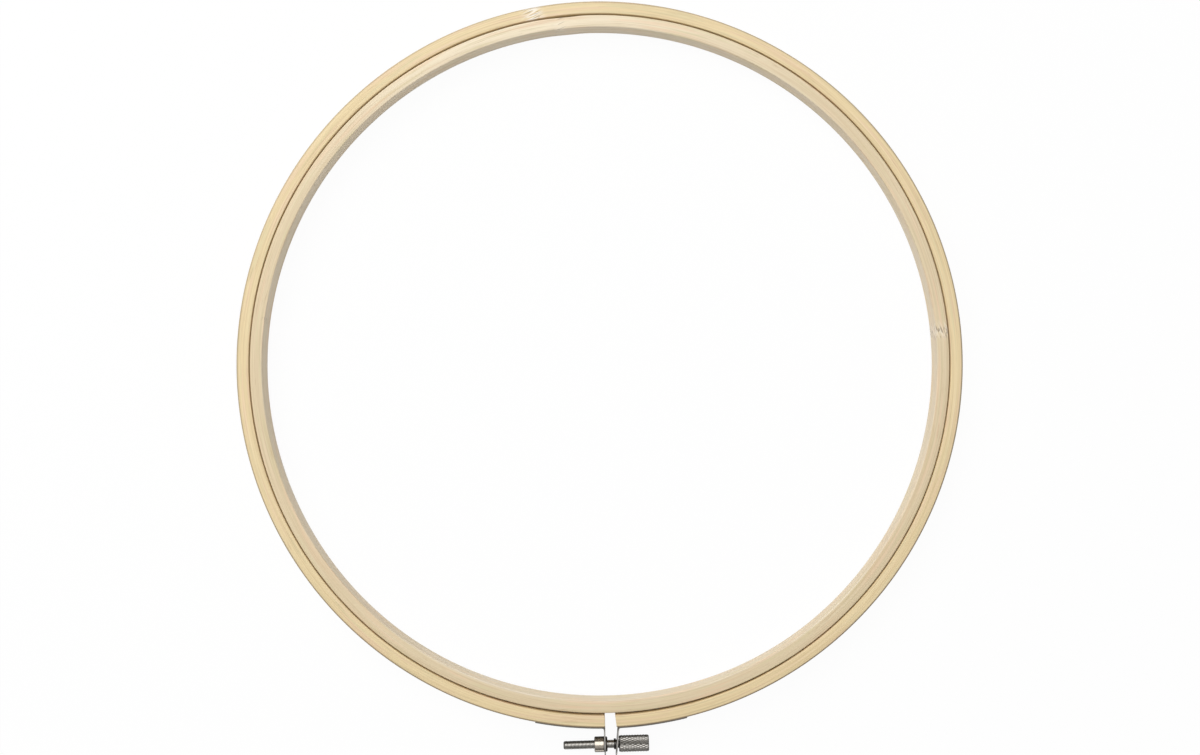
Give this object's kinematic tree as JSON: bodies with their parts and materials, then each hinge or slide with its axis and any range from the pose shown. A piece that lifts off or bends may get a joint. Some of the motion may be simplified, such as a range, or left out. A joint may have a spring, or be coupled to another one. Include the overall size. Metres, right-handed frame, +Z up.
{
  "type": "embroidery hoop",
  "caption": "Wooden embroidery hoop: plain inner ring held in a split outer ring that a knurled thumbscrew draws closed.",
  "frame": {"origin": "centre of both rings in the plane they lie on", "axes": "+Z up through the rings; the gap, ears and screw are at -Y; +X along the screw towards its knob"},
  "size_m": [0.2636, 0.2746, 0.01],
  "materials": {
    "inner_wood": "sanded bare bamboo, pale",
    "outer_wood": "sanded bare bamboo",
    "bracket_metal": "nickel-plated sheet steel",
    "rivet_metal": "nickel-plated steel",
    "nut_metal": "nickel-plated, polished",
    "screw_metal": "nickel-plated, threaded",
    "knob_metal": "nickel-plated, knurled"
  },
  "bodies": {
    "outer_frame": {"outer_ring": "outer_wood", "knob_side_bracket": "bracket_metal", "knob_side_rivet": "rivet_metal"},
    "nut_end": {"nut_side_bracket": "bracket_metal", "nut_side_rivet": "rivet_metal", "barrel_nut": "nut_metal"},
    "thumbscrew": {"threaded_rod": "screw_metal", "knurled_knob": "knob_metal"},
    "inner_hoop": {"inner_ring": "inner_wood"}
  },
  "joints": [
    {"name": "knob_turn", "type": "hinge", "parent": "outer_frame", "child": "thumbscrew", "pos_m": [0, -0.13885, 0.005], "axis": [-1, 0, 0], "range_deg": [-7200, 720]},
    {"name": "ends_draw_together", "type": "slide", "parent": "outer_frame", "child": "nut_end", "axis": [1, 0, 0], "range_m": [-0.01, 0.001], "deforming": ["outer_ring"]},
    {"name": "inner_ring_lift", "type": "slide", "parent": "outer_frame", "child": "inner_hoop", "axis": [0, 0, 1], "range_m": [0, 0.025]}
  ],
  "couplings": [
    {"joint": "knob_turn", "follows": "ends_draw_together", "rad_per_m": 12566}
  ]
}
